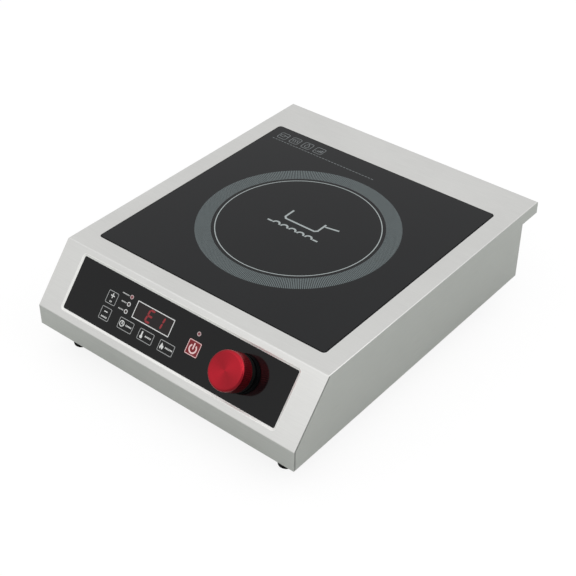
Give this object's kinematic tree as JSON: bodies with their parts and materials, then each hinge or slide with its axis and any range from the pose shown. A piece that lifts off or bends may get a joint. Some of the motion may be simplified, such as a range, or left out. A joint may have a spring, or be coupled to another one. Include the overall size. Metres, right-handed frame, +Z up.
{
  "type": "induction hob",
  "caption": "Free-standing commercial induction hob: stainless body, black glass top, sloping control panel with press keys and a red rotary knob, cooling fan inside.",
  "frame": {"origin": "centre of the bounding box in X and Y, on the plane the feet stand on", "axes": "+X to the right seen from the front, +Y from the front (control panel) to the back, +Z up"},
  "size_m": [0.33, 0.41, 0.1085],
  "materials": {
    "brushed_stainless": "fine brushed, satin",
    "plated_sheet": "zinc plated, dull",
    "zinc_fasteners": "zinc plated",
    "brass_screw": "plain brass",
    "ceramic_glass": "polished, opaque black",
    "silicone_seal": "matt black",
    "panel_black": "glossy black",
    "key_red": "glossy dark red",
    "smoked_window": "glossy smoked",
    "display_black": "matt black",
    "led_lens": "tinted clear",
    "knob_red": "anodised red, turned",
    "knob_black": "satin black",
    "shaft_steel": "turned",
    "black_rubber": "matt",
    "black_nylon": "moulded",
    "white_nylon": "moulded",
    "circuit_board": "solder resist",
    "copper": "varnished copper strand",
    "ferrite": "fired ferrite",
    "aluminium": "mill finish",
    "mica": "pressed mica sheet",
    "sensor_ceramic": "sleeved",
    "capacitor_yellow": "moulded box",
    "wire_grey": "flat cable",
    "wire_blue": "insulated wire"
  },
  "bodies": {
    "housing": {"top_cover": "brushed_stainless", "base_plate": "plated_sheet", "rear_panel": "plated_sheet", "feet": "black_rubber", "foot_screws": "zinc_fasteners", "foot_nuts": "zinc_fasteners", "base_screws": "zinc_fasteners", "rear_screws": "zinc_fasteners", "glass_plate": "ceramic_glass", "glass_seal": "silicone_seal", "control_overlay": "panel_black", "key_carrier": "black_nylon", "carrier_nuts": "zinc_fasteners", "display_window": "smoked_window", "display_module": "display_black", "indicator_leds": "led_lens", "control_board": "circuit_board", "control_board_screws": "zinc_fasteners", "tact_switches": "white_nylon", "buzzer": "black_nylon", "encoder_body": "shaft_steel", "encoder_nut": "zinc_fasteners", "mica_disc": "mica", "induction_coil": "copper", "coil_former": "black_nylon", "ferrite_bars": "ferrite", "coil_carrier": "aluminium", "coil_springs": "zinc_fasteners", "coil_posts": "white_nylon", "sensor_holder": "silicone_seal", "temperature_sensor": "sensor_ceramic", "coil_leads": "copper", "power_board": "circuit_board", "power_board_posts": "white_nylon", "power_board_screws": "zinc_fasteners", "heat_sink": "aluminium", "power_transistors": "black_nylon", "bridge_rectifier": "black_nylon", "film_capacitors": "capacitor_yellow", "filter_choke": "copper", "line_fuse": "white_nylon", "fan_frame": "black_nylon", "fan_screws": "zinc_fasteners", "air_duct": "black_nylon", "ribbon_cable": "wire_grey", "cord_bushing": "black_rubber", "supply_cord": "black_rubber", "mains_leads": "wire_blue", "terminal_block": "white_nylon", "earth_screw": "brass_screw"},
    "knob": {"knob_cap": "knob_red", "knob_core": "knob_black", "encoder_shaft": "shaft_steel"},
    "fan": {"fan_rotor": "black_nylon"},
    "key_plus_cap": {"key_plus": "panel_black"},
    "key_minus_cap": {"key_minus": "panel_black"},
    "key_timer_cap": {"key_timer": "panel_black"},
    "key_temperature_cap": {"key_temperature": "panel_black"},
    "key_power_level_cap": {"key_power_level": "panel_black"},
    "key_on_off_cap": {"key_on_off": "key_red"}
  },
  "joints": [
    {"name": "knob_turn", "type": "hinge", "parent": "housing", "child": "knob", "pos_m": [0.08, -0.17605, 0.08007], "axis": [0, -0.7649, 0.6441], "continuous": true},
    {"name": "fan_spin", "type": "hinge", "parent": "housing", "child": "fan", "pos_m": [-0.088, -0.08253, 0.042], "axis": [0, 0, 1], "continuous": true},
    {"name": "key_plus_press", "type": "slide", "parent": "housing", "child": "key_plus_cap", "axis": [0, 0.7649, -0.6441], "range_m": [0, 0.0004], "stiffness_N_per_m": 5000},
    {"name": "key_minus_press", "type": "slide", "parent": "housing", "child": "key_minus_cap", "axis": [0, 0.7649, -0.6441], "range_m": [0, 0.0004], "stiffness_N_per_m": 5000},
    {"name": "key_timer_press", "type": "slide", "parent": "housing", "child": "key_timer_cap", "axis": [0, 0.7649, -0.6441], "range_m": [0, 0.0004], "stiffness_N_per_m": 5000},
    {"name": "key_temperature_press", "type": "slide", "parent": "housing", "child": "key_temperature_cap", "axis": [0, 0.7649, -0.6441], "range_m": [0, 0.0004], "stiffness_N_per_m": 5000},
    {"name": "key_power_level_press", "type": "slide", "parent": "housing", "child": "key_power_level_cap", "axis": [0, 0.7649, -0.6441], "range_m": [0, 0.0004], "stiffness_N_per_m": 5000},
    {"name": "key_on_off_press", "type": "slide", "parent": "housing", "child": "key_on_off_cap", "axis": [0, 0.7649, -0.6441], "range_m": [0, 0.0004], "stiffness_N_per_m": 5000}
  ]
}
